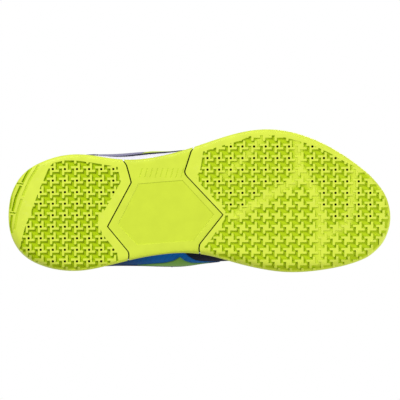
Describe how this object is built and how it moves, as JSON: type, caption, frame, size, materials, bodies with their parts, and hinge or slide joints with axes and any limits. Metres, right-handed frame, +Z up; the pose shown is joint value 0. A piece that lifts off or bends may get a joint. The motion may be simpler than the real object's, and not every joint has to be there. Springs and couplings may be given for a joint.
{
  "type": "court shoe",
  "caption": "Right court shoe with a lugged rubber outsole in separate heel, midfoot and forefoot pieces, foam midsole, laced upper, padded collar and flexing forefoot.",
  "frame": {"origin": "centre of the heel's ground contact, on the ground plane, 50 mm forward of the rearmost point of the sole", "axes": "+X from heel to toe along the sole, +Y to the medial (inner) side of a right shoe, +Z up, the way the foot goes out"},
  "size_m": [0.2853, 0.1064, 0.1205],
  "materials": {
    "outsole_rubber": "moulded gum rubber, satin, lime",
    "outsole_midfoot": "smooth moulded rubber, lime",
    "foam_midsole": "skinned foam, white",
    "cushion_foam": "soft foam",
    "board": "bonded fibre board",
    "insole_fabric": "knitted top cloth over foam",
    "mesh_navy": "knitted mesh, dark navy",
    "synthetic_blue": "coated synthetic leather, blue",
    "synthetic_navy": "coated synthetic leather, dark navy",
    "synthetic_white": "coated synthetic leather, white",
    "accent_green": "coated synthetic leather, green",
    "accent_lime": "film overlay, lime",
    "lining": "padded knit lining",
    "stiffener": "thermoformed board",
    "lace_cord": "flat woven lace",
    "aglet_plastic": "clear film tip"
  },
  "bodies": {
    "rear": {"heel_outsole": "outsole_rubber", "shank_outsole": "outsole_midfoot", "forefoot_outsole_ball": "outsole_rubber", "midsole_rear": "foam_midsole", "heel_cushion": "cushion_foam", "lasting_board_rear": "board", "insole_rear": "insole_fabric", "heel_panel": "synthetic_navy", "quarter_lateral": "mesh_navy", "quarter_medial": "synthetic_blue", "vamp_wing_lateral": "mesh_navy", "vamp_wing_medial": "mesh_navy", "heel_counter": "stiffener", "collar_pad": "lining", "heel_wrap": "accent_lime", "side_panel_lateral": "synthetic_white", "arch_panel_medial": "accent_green", "eyestay_lateral": "synthetic_navy", "eyestay_medial": "synthetic_navy", "lace_rows": "lace_cord", "lace_knot": "lace_cord"},
    "toe": {"forefoot_outsole_toe": "outsole_rubber", "midsole_toe": "foam_midsole", "forefoot_cushion": "cushion_foam", "lasting_board_toe": "board", "insole_toe": "insole_fabric", "vamp_toe": "mesh_navy", "toe_puff": "stiffener", "toe_guard": "synthetic_navy"},
    "tongue": {"tongue_shell": "mesh_navy", "tongue_pad": "lining"},
    "loop_lateral": {"bow_loop_lateral": "lace_cord"},
    "loop_medial": {"bow_loop_medial": "lace_cord"},
    "tail_lateral": {"lace_tail_lateral": "lace_cord", "aglet_lateral": "aglet_plastic"},
    "tail_medial": {"lace_tail_medial": "lace_cord", "aglet_medial": "aglet_plastic"}
  },
  "joints": [
    {"name": "toe_flex", "type": "hinge", "parent": "rear", "child": "toe", "pos_m": [0.14, 0, 0.0252], "axis": [0, -1, 0], "range_deg": [0, 30], "stiffness_Nm_per_rad": 8},
    {"name": "tongue_tilt", "type": "hinge", "parent": "rear", "child": "tongue", "pos_m": [0.13163, -0.00266, 0.06464], "axis": [0, -1, 0], "range_deg": [0, 15], "stiffness_Nm_per_rad": 0.6},
    {"name": "bow_loop_lateral_lift", "type": "hinge", "parent": "rear", "child": "loop_lateral", "pos_m": [0.0831, -0.01262, 0.10482], "axis": [-0.8493, -0.1898, 0.4926], "range_deg": [0, 50], "stiffness_Nm_per_rad": 0.002},
    {"name": "bow_loop_medial_lift", "type": "hinge", "parent": "rear", "child": "loop_medial", "pos_m": [0.083, 0.0108, 0.10481], "axis": [0.8486, -0.217, -0.4825], "range_deg": [0, 50], "stiffness_Nm_per_rad": 0.002},
    {"name": "lace_tail_lateral_lift", "type": "hinge", "parent": "rear", "child": "tail_lateral", "pos_m": [0.07455, -0.01391, 0.10851], "axis": [-0.8493, -0.1898, 0.4926], "range_deg": [0, 55], "stiffness_Nm_per_rad": 0.001},
    {"name": "lace_tail_medial_lift", "type": "hinge", "parent": "rear", "child": "tail_medial", "pos_m": [0.07441, 0.01229, 0.10852], "axis": [0.8486, -0.217, -0.4825], "range_deg": [0, 55], "stiffness_Nm_per_rad": 0.001}
  ]
}
